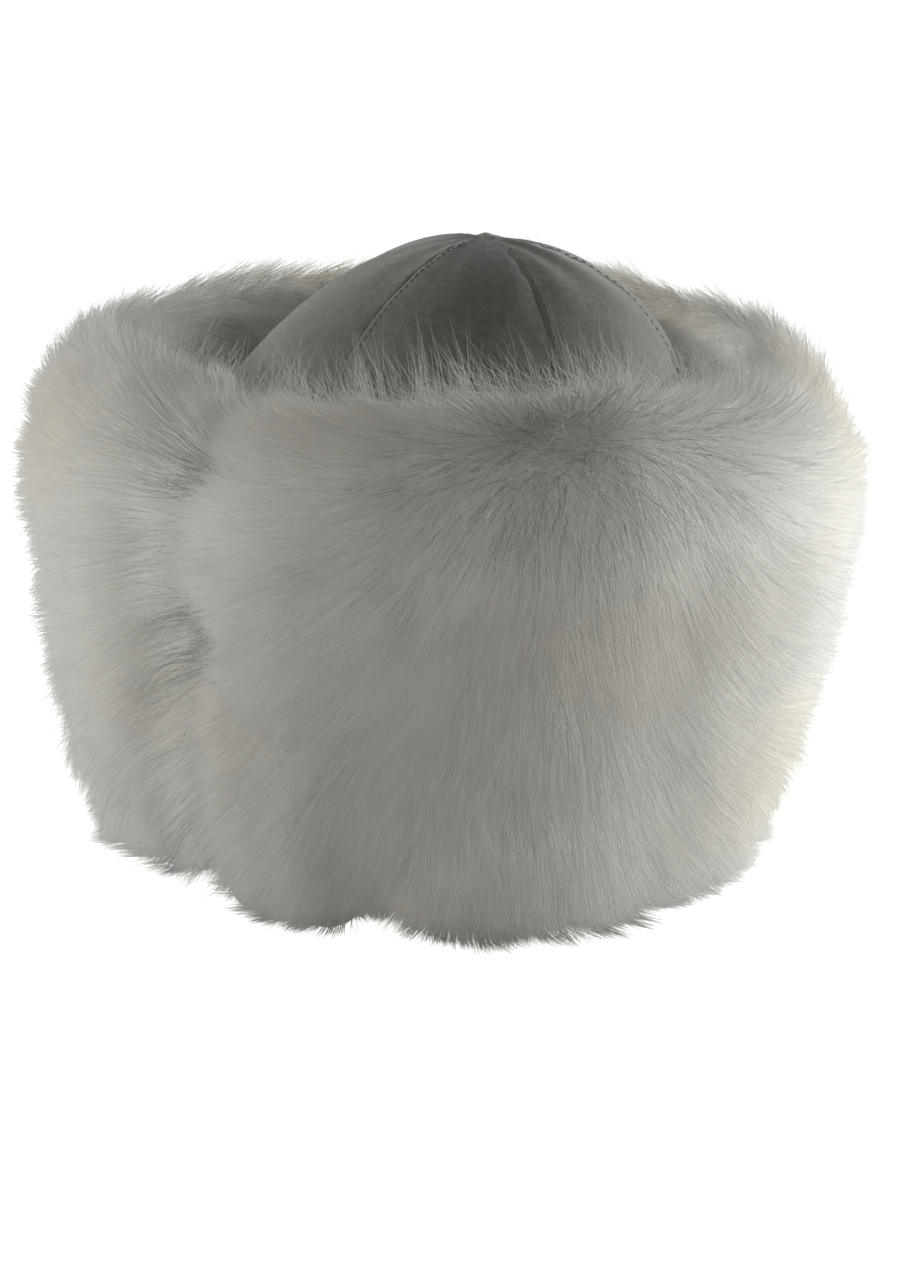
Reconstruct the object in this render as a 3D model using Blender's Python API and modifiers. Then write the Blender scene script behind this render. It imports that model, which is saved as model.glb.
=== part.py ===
"""White fur hat: a crown of six cloth gores inside a deep, upstanding fur band.

The band is two pieces of deep-pile fur sewn end to end: a front panel, whose left
end laps over the band, and a long piece that runs round the sides and the back.
Each is a backing that carries pointed locks of pile, fused to it.
Metres, +Z up, front of the hat towards -Y. Azimuths run from the front to +X.
"""
import math
import random

import bmesh
import bpy
import numpy as np
from mathutils import Vector

# Crown: an upright cloth wall under a dome, a little longer from front to back
HALF_WIDTH = 0.088
LONGER = 0.009
HEIGHT = 0.2135
DOME_START = 0.120
CROWN_HEM = 0.003
CLOTH = 0.002
APEX_LEAN = 0.0105
APEX_HOLE = 0.001
GORES = 6
GORE_TURN = math.radians(-7)
SEAM_GROOVE = 0.0007
SEAM_SHARE = 0.03
GORE_FULLNESS = 0.0025
FULL_BY = 1 / 3
DOME_ROWS = 7
WALL_ROWS = 3
GORE_COLUMNS = (-0.5, -0.465, -0.24, 0.0, 0.24, 0.465, 0.5)

# Clearances between pieces that lie against each other
SEAM_GAP = 0.0003
BAND_GAP = 0.0006

# Outer form of the fur, from the hem up the outside, over the crest and down inside
FUR_FORM = (
    # half width, height
    (0.120, 0.000),
    (0.132, 0.032),
    (0.141, 0.075),
    (0.148, 0.112),
    (0.150, 0.139),
    (0.143, 0.161),
    (0.131, 0.175),
    (0.119, 0.179),
    (0.107, 0.171),
    (0.098, 0.152),
)
CREST_FROM = 0.112
CREST_HEIGHT = 0.179
HEM_UP_TO = 0.075
CURVE_STEPS = 12
SLOPE_STEP = 0.004

# How the form changes round the head: degrees, then metres
FUR_ROUND = (
    # azimuth, crest lift, hem lift, swell
    (-180, 0.003, 0.000, 0.000),
    (-150, 0.001, 0.000, 0.000),
    (-100, -0.002, 0.002, 0.000),
    (-60, 0.000, 0.006, 0.000),
    (-46, -0.001, 0.008, -0.003),
    (-38, -0.003, 0.010, -0.011),
    (-34, -0.008, 0.000, 0.000),
    (-26, -0.008, 0.000, 0.004),
    (-15, -0.003, 0.002, 0.004),
    (-4, 0.000, 0.005, 0.001),
    (4, 0.002, 0.001, 0.000),
    (10, 0.005, 0.000, 0.000),
    (24, 0.007, 0.000, 0.001),
    (31, 0.006, 0.000, -0.003),
    (39, 0.005, 0.000, 0.000),
    (70, -0.001, 0.000, 0.000),
    (110, 0.002, 0.000, 0.000),
    (150, 0.008, 0.000, 0.000),
    (180, 0.003, 0.000, 0.000),
)

# Seams of the front panel; its left end leans over the end of the band
LEFT_SEAM_IN = math.radians(-28)
LEFT_SEAM_OUT = math.radians(-35)
RIGHT_SEAM = math.radians(31)
LEFT_SEAM = math.radians(-32)
PAST_SEAM = math.radians(6)
ROOT_IN = math.radians(2)
ROOM_IN = 0.060
ROOM_OUT = 0.215
ROOM_LOW = -0.02
ROOM_TOP = 0.24

# Backing: the form drawn in by the depth of the locks
LOCK_DEPTH = 0.009
LIP_DEPTH = 0.003
LIP_ROOT = 0.126
BACKING_STEP = math.radians(8)
BACKING_ROWS = 11
WELD = 0.00001

# Locks of pile: a row for each ring of them, its root a length up the form
LOCK_LENGTH = 0.046
LOCK_WIDTH = 0.046
LOCK_SIDES = 4
LOCK_RINGS = 4
LOCK_SPACING = 0.038
FIRST_PLACE = 0.25
STAGGER = 0.5
LOCK_ROWS = (
    # root, upward, length share, tip stand-off
    (0.038, -1, 0.92, 0.002),
    (0.069, -1, 1.00, 0.001),
    (0.103, -1, 1.02, 0.001),
    (0.139, -1, 1.04, 0.001),
    (0.134, 1, 0.82, 0.002),
    (0.166, 1, 0.77, 0.006),
    (0.195, 1, 0.74, 0.004),
)
LOCK_TAPER = (
    # along, width share, depth of its ridge, depth of its flanks
    (0.00, 0.00, 0.012, 0.012),
    (0.15, 0.60, 0.006, 0.011),
    (0.50, 1.00, 0.000, 0.010),
    (0.85, 0.60, -0.001, 0.010),
    (1.00, 0.00, 0.005, 0.005),
)
LOCK_KEEL = 0.003
STAND_OFF_BEND = 3
SMALLEST_RING = 0.01
LOWEST_LOCK = 0.0002
FLATTENED_SHARE = 0.25
UPWARD_TURN_SHARE = 0.3
EDGE_MARGIN = 0.004
SWIRL_AZIMUTH = math.radians(14)
SWIRL_LENGTH = 0.175
SIDEWAYS_SHARE = 0.7
MOST_SIDEWAYS = math.radians(38)
JITTER = 0.12
SEED = 11

FUR_COLOUR = (0.78, 0.76, 0.70, 1.0)
FUR_ROUGHNESS = 0.9
CLOTH_COLOUR = (0.29, 0.29, 0.26, 1.0)
CLOTH_ROUGHNESS = 0.85


def clear_scene():
    for old in list(bpy.data.objects):
        bpy.data.objects.remove(old)


def new_collection(name):
    group = bpy.data.collections.new(name)
    bpy.context.scene.collection.children.link(group)
    return group


def finish(name, colour, roughness):
    material = bpy.data.materials.new(name)
    material.use_nodes = True
    shader = material.node_tree.nodes["Principled BSDF"]
    shader.inputs["Base Color"].default_value = colour
    shader.inputs["Roughness"].default_value = roughness
    shader.inputs["Metallic"].default_value = 0.0
    return material


def new_object(name, bm, group, material=None):
    mesh = bpy.data.meshes.new(name)
    bm.to_mesh(mesh)
    bm.free()
    if material:
        mesh.materials.append(material)
    thing = bpy.data.objects.new(name, mesh)
    group.objects.link(thing)
    return thing


def face_out(bm):
    bm.normal_update()
    bmesh.ops.recalc_face_normals(bm, faces=bm.faces)


def new_cutter(name, bm, group):
    face_out(bm)
    cutter = new_object(name, bm, group)
    cutter.hide_render = True
    cutter.display_type = "WIRE"
    return cutter


def around(radius, azimuth, height):
    """A point of the hat's oval plan: the long axis runs from front to back."""
    long_radius = radius + LONGER * min(radius / HALF_WIDTH, 1.0)
    return Vector((radius * math.sin(azimuth), -long_radius * math.cos(azimuth), height))


def ramp(value):
    value = max(0.0, min(1.0, value))
    return value * value * (3 - 2 * value)


def crown_profile(row):
    """Radius and height of a row of the crown, from the apex down to the hem."""
    if row > DOME_ROWS:
        drop = (row - DOME_ROWS) / WALL_ROWS
        return HALF_WIDTH, DOME_START + (CROWN_HEM - DOME_START) * drop
    first_turn = math.asin(APEX_HOLE / HALF_WIDTH)
    turn = first_turn + (math.pi / 2 - first_turn) * row / DOME_ROWS
    return HALF_WIDTH * math.sin(turn), DOME_START + (HEIGHT - DOME_START) * math.cos(turn)


def gore_point(centre, across, row):
    """A point of a gore: full in its middle, drawn in at its seams."""
    radius, height = crown_profile(row)
    share = radius / HALF_WIDTH
    width = math.tau / GORES - SEAM_GAP / radius
    rise = ramp((height - DOME_START) / (HEIGHT - DOME_START))
    seam = max(0.0, 1 - (0.5 - abs(across)) / SEAM_SHARE)
    fullness = GORE_FULLNESS * math.cos(math.pi * across) * ramp(rise / FULL_BY) * share
    point = around(radius - SEAM_GROOVE * seam * share + fullness, centre + across * width, height)
    return point + Vector((APEX_LEAN * rise, 0, 0))


def make_gore(index, group, material):
    """One gore, a shaped cloth sheet from the apex to the hem between two seams."""
    columns = len(GORE_COLUMNS) - 1
    rows = DOME_ROWS + WALL_ROWS
    centre = GORE_TURN + index * math.tau / GORES
    bm = bmesh.new()
    bmesh.ops.create_grid(bm, x_segments=columns, y_segments=rows, size=0.5)
    for vert in bm.verts:
        column = round((vert.co.x + 0.5) * columns)
        row = round((0.5 - vert.co.y) * rows)
        vert.co = gore_point(centre, GORE_COLUMNS[column], row)
    gore = new_object(f"crown_gore_{index + 1}", bm, group, material)
    gore.data.shade_smooth()
    thickness = gore.modifiers.new("Cloth", "SOLIDIFY")
    thickness.thickness = CLOTH
    thickness.offset = -1
    return gore


def smooth_curve(rows):
    """Points on a smooth curve through the rows of a table."""
    last = len(rows) - 1
    points = []
    for start in range(last):
        before, here, after, beyond = (
            np.array(rows[max(0, min(last, start + step))]) for step in (-1, 0, 1, 2)
        )
        slope_in = (after - before) / 2
        slope_out = (beyond - here) / 2
        bend = 3 * (after - here) - 2 * slope_in - slope_out
        curl = 2 * (here - after) + slope_in + slope_out
        for step in range(CURVE_STEPS):
            share = step / CURVE_STEPS
            points.append(here + slope_in * share + bend * share**2 + curl * share**3)
    points.append(np.array(rows[-1]))
    return np.array(points)


FORM_CURVE = smooth_curve(FUR_FORM)
FORM_LENGTHS = np.append(0.0, np.cumsum(np.linalg.norm(np.diff(FORM_CURVE, axis=0), axis=1)))
FORM_LENGTH = float(FORM_LENGTHS[-1])


def form_at(length):
    """Half width and height of the form, a length up from the hem."""
    half_width = float(np.interp(length, FORM_LENGTHS, FORM_CURVE[:, 0]))
    height = float(np.interp(length, FORM_LENGTHS, FORM_CURVE[:, 1]))
    return Vector((half_width, height + min(length, 0.0)))


def form_normal(length):
    low = max(0.0, min(FORM_LENGTH - 2 * SLOPE_STEP, length - SLOPE_STEP))
    along = form_at(low + 2 * SLOPE_STEP) - form_at(low)
    return Vector((along.y, -along.x)).normalized()


def table_at(rows, value):
    """The columns of a table at a value of its first column, eased between rows."""
    for first, second in zip(rows, rows[1:]):
        if value <= second[0]:
            share = ramp((value - first[0]) / (second[0] - first[0]))
            return [a + (b - a) * share for a, b in zip(first[1:], second[1:])]
    return list(rows[-1][1:])


def fur_round(azimuth):
    return table_at(FUR_ROUND, (math.degrees(azimuth) + 180) % 360 - 180)


def fur_point(azimuth, length, depth):
    """A point of the fur, at a depth under its outer form."""
    half_width, height = form_at(length)
    normal = form_normal(length)
    crest_lift, hem_lift, swell = fur_round(azimuth)
    outside = ramp((half_width - HALF_WIDTH) / (FUR_FORM[0][0] - HALF_WIDTH))
    radius = half_width + swell * outside - depth * normal.x
    lift = crest_lift * ramp((height - CREST_FROM) / (CREST_HEIGHT - CREST_FROM))
    lift += hem_lift * (1 - ramp(height / HEM_UP_TO))
    return around(radius, azimuth, height + lift - depth * normal.y)


def backing_point(azimuth, row):
    """A point of the backing: rows go up its outside, then down its inner wall."""
    hem = fur_round(azimuth)[1]
    if row < BACKING_ROWS:
        share = row / (BACKING_ROWS - 1)
        depth = LIP_DEPTH if row == BACKING_ROWS - 1 else LOCK_DEPTH
        point = fur_point(azimuth, FORM_LENGTH * share, depth)
        if row == 0:
            point.z = hem
        return point
    height = LIP_ROOT if row == BACKING_ROWS else hem
    return around(HALF_WIDTH + BAND_GAP, azimuth, height)


def make_backing(name, first, last, group, material):
    """A closed band between two azimuths: its section is swept round the head."""
    steps = round((last - first) / BACKING_STEP)
    rows = BACKING_ROWS + 2
    bm = bmesh.new()
    bmesh.ops.create_grid(bm, x_segments=steps, y_segments=rows, size=0.5)
    for vert in bm.verts:
        azimuth = first + (last - first) * (vert.co.x + 0.5)
        row = round((vert.co.y + 0.5) * rows) % rows
        vert.co = backing_point(azimuth, row)
    bmesh.ops.remove_doubles(bm, verts=bm.verts, dist=WELD)
    bmesh.ops.holes_fill(bm, edges=[edge for edge in bm.edges if edge.is_boundary], sides=0)
    face_out(bm)
    return new_object(name, bm, group, material)


def lay_of_pile(azimuth, length):
    """Sideways turn of the pile: on the outside it runs away from a swirl at the front."""
    turn = (azimuth - SWIRL_AZIMUTH + math.pi) % math.tau - math.pi
    sideways = turn * form_at(length).x * SIDEWAYS_SHARE
    down = abs(SWIRL_LENGTH - length)
    return max(-MOST_SIDEWAYS, min(MOST_SIDEWAYS, math.atan2(sideways, down)))


def make_lock(name, azimuth, row, chance, group):
    """One pointed lock: a ball drawn out along the pile, its root inside the backing."""
    root, upward, share, stand_off = row
    reach = LOCK_LENGTH * share * chance.uniform(1 - JITTER, 1 + JITTER)
    width = LOCK_WIDTH * chance.uniform(1 - JITTER, 1 + JITTER)
    angle = lay_of_pile(azimuth, root) * (1.0 if upward < 0 else UPWARD_TURN_SHARE)
    lowest = chance.uniform(LOWEST_LOCK, EDGE_MARGIN)
    tip = root + upward * reach * math.cos(angle)
    step = max(lowest, min(FORM_LENGTH - EDGE_MARGIN, tip)) - root
    half_width = form_at(root + step / 2).x
    bm = bmesh.new()
    bmesh.ops.create_uvsphere(bm, u_segments=LOCK_SIDES, v_segments=LOCK_RINGS, radius=1.0)
    for vert in bm.verts:
        x, y, z = vert.co
        ring = max(math.hypot(x, y), SMALLEST_RING)
        along = (1 - z) / 2
        width_share, ridge, flank = table_at(LOCK_TAPER, along)
        across = x / ring * width_share * width / 2
        rise = y / ring
        depth = flank - rise * (flank - ridge if rise > 0 else LOCK_KEEL) - stand_off * along**STAND_OFF_BEND
        sideways = reach * math.sin(angle) * along + across * math.cos(angle)
        length = root + step * along - across * math.sin(angle) * -upward
        point = fur_point(azimuth + sideways / half_width, length, depth)
        point.z = max(point.z, lowest * FLATTENED_SHARE)
        vert.co = point
    new_cutter(name, bm, group)


def make_locks(name, first, last, group):
    """Every lock of a piece of the band, each row set half a lock along from the last."""
    chance = random.Random(SEED)
    locks = bpy.data.collections.new(name)
    group.children.link(locks)
    for number, row in enumerate(LOCK_ROWS):
        arc = (last - first) * form_at(row[0]).x
        count = round(arc / LOCK_SPACING)
        for index in range(count):
            place = (index + FIRST_PLACE + STAGGER * (number % 2) + chance.uniform(-JITTER, JITTER)) / count
            make_lock(f"{name}_{number}_{index}", first + (last - first) * place, row, chance, locks)
    return locks


def seam_room(name, grow, group):
    """The room of the front panel, between upright planes through its two seams."""
    bm = bmesh.new()
    bmesh.ops.create_cube(bm, size=1.0)
    for vert in bm.verts:
        right, outer, top = (value > 0 for value in vert.co)
        left_seam = LEFT_SEAM_OUT if outer else LEFT_SEAM_IN
        azimuth = RIGHT_SEAM if right else left_seam
        radius = ROOM_OUT if outer else ROOM_IN
        along = Vector((math.cos(azimuth), math.sin(azimuth), 0))
        point = around(radius, azimuth, ROOM_TOP if top else ROOM_LOW)
        vert.co = point + along * (grow if right else -grow)
    return new_cutter(name, bm, group)


def fuse_locks(thing, locks):
    boolean = thing.modifiers.new("Locks", "BOOLEAN")
    boolean.operand_type = "COLLECTION"
    boolean.collection = locks
    boolean.operation = "UNION"
    boolean.solver = "MANIFOLD"


def cut_seams(thing, room, operation):
    boolean = thing.modifiers.new("Seams", "BOOLEAN")
    boolean.object = room
    boolean.operation = operation
    boolean.solver = "MANIFOLD"


def make_fur(name, first, last, room, operation, groups, material):
    """A piece of the fur band: backing and locks as one, cut to its seams."""
    fur = make_backing(name, first - PAST_SEAM, last + PAST_SEAM, groups[0], material)
    fuse_locks(fur, make_locks(f"{name}_lock", first + ROOT_IN, last - ROOT_IN, groups[1]))
    cut_seams(fur, room, operation)
    return fur


def main():
    clear_scene()
    hat = new_collection("white_fur_hat")
    cutters = new_collection("cutters")
    cloth = finish("crown_cloth", CLOTH_COLOUR, CLOTH_ROUGHNESS)
    fur = finish("white_fur", FUR_COLOUR, FUR_ROUGHNESS)
    for index in range(GORES):
        make_gore(index, hat, cloth)
    panel_room = seam_room("panel_room", 0.0, cutters)
    band_room = seam_room("band_room", BAND_GAP, cutters)
    groups = (hat, cutters)
    make_fur("front_fur_panel", LEFT_SEAM, RIGHT_SEAM, panel_room, "INTERSECT", groups, fur)
    make_fur("side_fur_band", RIGHT_SEAM, LEFT_SEAM + math.tau, band_room, "DIFFERENCE", groups, fur)


main()
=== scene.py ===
"""White fur hat: a domed crown of six grey cloth gores inside a deep band of white fur.

The band is a front panel and a long side piece, sewn end to end, and each is a
pelt that carries long pile. Metres, +Z up, front of the hat towards -Y. Azimuths
run from the front towards +X, and a length runs up the fur from its hem.
"""
import math

import bpy
import numpy as np
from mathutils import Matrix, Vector


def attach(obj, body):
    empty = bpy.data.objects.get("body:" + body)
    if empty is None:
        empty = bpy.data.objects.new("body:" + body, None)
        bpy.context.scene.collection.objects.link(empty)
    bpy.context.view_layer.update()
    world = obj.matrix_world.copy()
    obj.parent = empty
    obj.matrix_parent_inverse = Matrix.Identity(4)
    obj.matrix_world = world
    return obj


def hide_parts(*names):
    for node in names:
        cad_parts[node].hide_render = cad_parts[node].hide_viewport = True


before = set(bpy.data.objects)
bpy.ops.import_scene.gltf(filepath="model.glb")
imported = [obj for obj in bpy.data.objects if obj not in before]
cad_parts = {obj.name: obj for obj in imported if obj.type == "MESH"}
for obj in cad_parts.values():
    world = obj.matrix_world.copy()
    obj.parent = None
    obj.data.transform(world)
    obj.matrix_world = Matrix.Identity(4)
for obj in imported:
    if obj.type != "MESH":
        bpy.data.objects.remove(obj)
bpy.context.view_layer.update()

# The photographer's table: a white sweep of matt paper that the hat stands on, in
# a bright room, with soft boxes low on both sides. The camera looks a little down
# at the front of the hat and is turned a few degrees about its own view.
CAMERA_PLACE = Vector((0.0, -1.0, 0.333))
CAMERA_AIM = Vector((0.006, 0.0, 0.0675))
CAMERA_TURN = math.radians(3.09)
CAMERA_LENS = 80.2
CAMERA_SENSOR = 36.0
PAPER_WHITE = "FAFAF8"
PAPER_HALF_WIDTH = 30.0
PAPER_ROUGHNESS = 0.9
PAPER_GLOW = 0.96
ROOM_WHITE = 1.0
ROOM_LIGHT = 0.13
SOFT_BOXES = (
    # name, place, aim, width and height, watts
    ("right_soft_box", (1.10, 0.13, 0.11), (0.00, 0.00, 0.09), (0.7, 0.18), 8.2),
    ("left_soft_box", (-1.10, -0.18, 0.15), (0.00, 0.00, 0.09), (0.8, 0.22), 3.9),
    ("back_soft_box", (-0.30, 1.20, 0.80), (0.00, 0.00, 0.10), (1.2, 0.7), 6.4),
    ("front_fill", (-0.20, -1.60, 0.60), (0.00, 0.00, 0.10), (1.2, 0.8), 0.6),
    ("bounce_card", (-0.10, -0.75, 0.004), (-0.10, -0.70, 1.00), (1.2, 0.7), 0.27),
)


def linear(colour, level=1.0):
    """Linear RGBA of an sRGB hex colour."""
    shares = [int(colour[start:start + 2], 16) / 255 for start in (0, 2, 4)]
    bent = [s / 12.92 if s <= 0.04045 else ((s + 0.055) / 1.055) ** 2.4 for s in shares]
    return (*[level * value for value in bent], 1.0)


def add_node(tree, kind, inputs=None, **settings):
    """A node with its settings, and with its inputs set or joined to other nodes."""
    node = tree.nodes.new(kind)
    for name, value in settings.items():
        setattr(node, name, value)
    for socket, value in (inputs or {}).items():
        if isinstance(value, bpy.types.NodeSocket):
            tree.links.new(value, node.inputs[socket])
        else:
            node.inputs[socket].default_value = value
    return node


def new_material(name):
    """An empty material and its node tree."""
    material = bpy.data.materials.new(name)
    material.use_nodes = True
    material.node_tree.nodes.clear()
    return material, material.node_tree


def new_piece(name, points, faces, material):
    """A smooth mesh object from its points and faces."""
    mesh = bpy.data.meshes.new(name)
    mesh.from_pydata([tuple(point) for point in points], [], [tuple(face) for face in faces])
    mesh.polygons.foreach_set("use_smooth", np.ones(len(mesh.polygons), bool))
    mesh.materials.append(material)
    mesh.update()
    piece = bpy.data.objects.new(name, mesh)
    bpy.context.scene.collection.objects.link(piece)
    return piece


def aimed(thing, place, aim):
    """Puts a camera or light at a place, looking at its aim."""
    thing.location = place
    thing.rotation_mode = "QUATERNION"
    thing.rotation_quaternion = (aim - Vector(place)).to_track_quat("-Z", "Y")


camera = bpy.data.objects.new("camera", bpy.data.cameras.new("camera"))
bpy.context.scene.collection.objects.link(camera)
bpy.context.scene.camera = camera
camera.data.lens = CAMERA_LENS
camera.data.sensor_width = CAMERA_SENSOR
aimed(camera, CAMERA_PLACE, CAMERA_AIM)
camera.rotation_mode = "XYZ"
camera.rotation_euler.rotate_axis("Z", CAMERA_TURN)

for name, place, aim, size, watts in SOFT_BOXES:
    light = bpy.data.lights.new(name, "AREA")
    light.shape = "RECTANGLE"
    light.size, light.size_y = size
    light.energy = watts
    box = bpy.data.objects.new(name, light)
    bpy.context.scene.collection.objects.link(box)
    aimed(box, place, Vector(aim))
    box.visible_camera = False

# Photographic paper: matt white, with a glow that keeps its far end as white as the room
paper, tree = new_material("matt_white_paper")
sheen_free = add_node(
    tree,
    "ShaderNodeBsdfPrincipled",
    {
        "Base Color": linear(PAPER_WHITE),
        "Roughness": PAPER_ROUGHNESS,
        "Emission Color": linear(PAPER_WHITE),
        "Emission Strength": PAPER_GLOW,
    },
)
add_node(tree, "ShaderNodeOutputMaterial", {"Surface": sheen_free.outputs["BSDF"]})
paper_corners = [(x, y, 0) for x, y in ((-1, -1), (1, -1), (1, 1), (-1, 1))]
floor = new_piece(
    "paper_floor",
    PAPER_HALF_WIDTH * np.array(paper_corners),
    [(0, 1, 2, 3)],
    paper,
)
floor.visible_diffuse = False

room = bpy.data.worlds.new("bright_room")
bpy.context.scene.world = room
room.use_nodes = True
tree = room.node_tree
tree.nodes.clear()
seen = add_node(tree, "ShaderNodeLightPath")
strength = add_node(
    tree,
    "ShaderNodeMapRange",
    {"Value": seen.outputs["Is Camera Ray"], "To Min": ROOM_LIGHT, "To Max": ROOM_WHITE},
)
sky = add_node(tree, "ShaderNodeBackground", {"Strength": strength.outputs["Result"]})
sky.inputs["Color"].default_value = (1.0, 1.0, 1.0, 1.0)
add_node(tree, "ShaderNodeOutputWorld", {"Surface": sky.outputs["Background"]})
bpy.context.scene.view_settings.view_transform = "Standard"

# Crown gores: six long triangles of grey brushed wool cloth, sewn edge to edge from
# the hem to the apex. Each seam is a fine groove with its left-hand edge pressed up
# and stitched down in pale cotton, and the six points meet in a small dimple.
HALF_WIDTH = 0.088
LONGER = 0.009
CROWN_HEIGHT = 0.2135
DOME_START = 0.120
CROWN_HEM = 0.003
CLOTH = 0.002
APEX_LEAN = 0.0105
APEX_HOLE = 0.0001
GORES = 6
GORE_TURN = math.radians(-7)
GORE_FULLNESS = 0.0030
DOME_ROWS = 54
WALL_ROWS = 5
GORE_COLUMNS = 36
SEAM_GAP = 0.00003
GROOVE = (0.0003, 0.0005)  # depth, breadth
PRESSED_EDGE = (0.00007, 0.0020, 0.0009)  # height, distance from the seam, breadth
PUCKER = (0.00022, 0.0065, 0.0060)  # height, length, breadth
DIMPLE = (0.0012, 0.0040)  # depth, breadth
PLAIN_TOP = 0.012
FULL_SOON = 3
DENTS = (
    # depth, times round, times up, start
    (0.0007, 3, 5.0, 0.6),
    (0.0004, 7, 9.0, 2.1),
    (0.0002, 15, 17.0, 4.0),
)

WOOL_GREY = "A3A299"
WOOL_DARK = "8C8B83"
WOOL_PALE = "B2B1A7"
# Painted shade: each gore's wool colour is scaled by a fixed factor, darkest on the front gore
GORE_PAINTED_SHADE = (0.67, 0.84, 0.92, 0.90, 0.92, 0.80)
WOOL_ROUGHNESS = 0.88
WOOL_SHEEN = 0.35
WOOL_SHEEN_ROUGHNESS = 0.5
WOOL_MARKS = (
    # size in mm, detail
    (14.0, 3.0),
    (3.0, 4.0),
    (0.6, 2.0),
)
WOOL_FLECKS = (0.15, 0.40)
WOOL_FIBRE_DEPTH = 0.0004
WOOL_FIBRE_RAISED = 0.8
STITCH_FROM = 0.17
STITCH_IN = 0.0020
STITCH_LENGTH = 0.0023
STITCH_GAP = 0.0009
STITCH_RINGS = 5
STITCH_SIDES = 5
SEAM_STEPS = 400
THREAD_RADIUS = 0.00024
THREAD_BOW = 1.1
THREAD_SUNK = 0.4
THREAD_BLUNT = (0.08, 0.84)
THREAD_DARK = "94938A"
THREAD_PALE = "B4B2A8"
THREAD_ROUGHNESS = 0.7
THREAD_PLY_MM = 0.5
MIX_SHARE, MIX_FIRST, MIX_SECOND, MIX_RESULT = 0, 6, 7, 2  # a colour mix's sockets


def ramp(value):
    """Eases from 0 to 1."""
    value = np.clip(value, 0.0, 1.0)
    return value * value * (3 - 2 * value)


def bell(distance, breadth):
    """Falls off smoothly from 1 on either side of zero distance."""
    return np.exp(-((distance / breadth) ** 2))


def around(radius, azimuth, height):
    """Points of the hat's oval plan: the long axis runs from front to back."""
    long_radius = radius + LONGER * np.minimum(radius / HALF_WIDTH, 1.0)
    flat = np.stack([radius * np.sin(azimuth), -long_radius * np.cos(azimuth)], axis=-1)
    return np.concatenate([flat, np.broadcast_to(height, radius.shape)[..., None]], axis=-1)


def crown_profile():
    """Radius and height of each row of the crown, from the apex down to the hem."""
    first_turn = math.asin(APEX_HOLE / HALF_WIDTH)
    turn = np.linspace(first_turn, math.pi / 2, DOME_ROWS + 1)
    radius = HALF_WIDTH * np.sin(turn)
    height = DOME_START + (CROWN_HEIGHT - DOME_START) * np.cos(turn)
    wall = np.linspace(DOME_START, CROWN_HEM, WALL_ROWS + 1)[1:]
    return np.append(radius, np.full(WALL_ROWS, HALF_WIDTH)), np.append(height, wall)


def gore_points(index, across, radius, height, lift=0.0):
    """Points of a gore's outer face: full in its middle, grooved at its seams."""
    centre = GORE_TURN + index * math.tau / GORES
    share = radius / HALF_WIDTH
    width = math.tau / GORES - SEAM_GAP / radius
    rise = ramp((height - DOME_START) / (CROWN_HEIGHT - DOME_START))
    azimuth = centre + across * width
    from_seam = (0.5 - np.abs(across)) * width * radius
    clear = ramp(radius / PLAIN_TOP)
    offset = -GROOVE[0] * bell(from_seam, GROOVE[1])
    offset += PRESSED_EDGE[0] * (across < 0) * bell(from_seam - PRESSED_EDGE[1], PRESSED_EDGE[2])
    along = (radius + height) * math.tau / PUCKER[1]
    offset += PUCKER[0] * np.sin(along + index) * bell(from_seam, PUCKER[2])
    for depth, times, up, start in DENTS:
        offset += depth * np.sin(times * azimuth + start) * np.sin(up * rise + start)
    fullness = GORE_FULLNESS * np.cos(math.pi * across) * ramp(FULL_SOON * rise)
    offset = offset * clear + fullness * share
    points = around(radius + (offset + lift) * share, azimuth, height)
    points[..., 2] += (offset + lift) * np.sqrt(np.maximum(0, 1 - share**2))
    points[..., 2] -= DIMPLE[0] * bell(radius, DIMPLE[1])
    points[..., 0] += APEX_LEAN * rise
    return points


def make_gore(index, material):
    """One gore: a sheet from the apex to the hem, then given its thickness."""
    across = -0.5 * np.cos(np.linspace(0, math.pi, GORE_COLUMNS + 1))
    radius, height = crown_profile()
    grid_across, grid_radius = np.meshgrid(across, radius)
    grid_height = np.broadcast_to(height[:, None], grid_radius.shape)
    points = gore_points(index, grid_across, grid_radius, grid_height)
    rows, columns = grid_radius.shape
    corner = (np.arange(rows - 1)[:, None] * columns + np.arange(columns - 1)).ravel()
    faces = np.stack([corner, corner + columns, corner + columns + 1, corner + 1], axis=1)
    gore = new_piece(f"wool_gore_{index + 1}", points.reshape(-1, 3), faces, material)
    # The gore's painted shade factor, which darkens its wool colour
    painted_gore_shade = gore.data.attributes.new("painted_gore_shade", "FLOAT", "POINT")
    painted_gore_shade.data.foreach_set("value", np.full(len(gore.data.vertices), GORE_PAINTED_SHADE[index], np.float32))
    cloth = gore.modifiers.new("Cloth", "SOLIDIFY")
    cloth.thickness = CLOTH
    cloth.offset = -1
    return gore


def per_mm(size_mm):
    """The noise scale that gives marks of a size in millimetres."""
    return 1000.0 / size_mm


# Brushed wool: matt, with a soft bloom at grazing angles and clouds of lighter and
# darker fibre. Its fibres are drawn about ten times coarser, so that they show. Each
# gore's colour is scaled by its own fixed factor. This is painted shade that makes some
# gores look darker, as wool whose nap lies another way would under the lamps.
wool, tree = new_material("brushed_grey_wool")
where = add_node(tree, "ShaderNodeTexCoord").outputs["Object"]
cloud, mottle, fibre = (
    add_node(tree, "ShaderNodeTexNoise", {"Vector": where, "Scale": per_mm(size), "Detail": detail})
    for size, detail in WOOL_MARKS
)
clouded = add_node(
    tree,
    "ShaderNodeMix",
    {
        MIX_SHARE: cloud.outputs["Fac"],
        MIX_FIRST: linear(WOOL_DARK),
        MIX_SECOND: linear(WOOL_GREY),
    },
    data_type="RGBA",
)
shaken = add_node(
    tree,
    "ShaderNodeMath",
    {0: mottle.outputs["Fac"], 1: fibre.outputs["Fac"]},
    operation="MULTIPLY",
)
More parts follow.
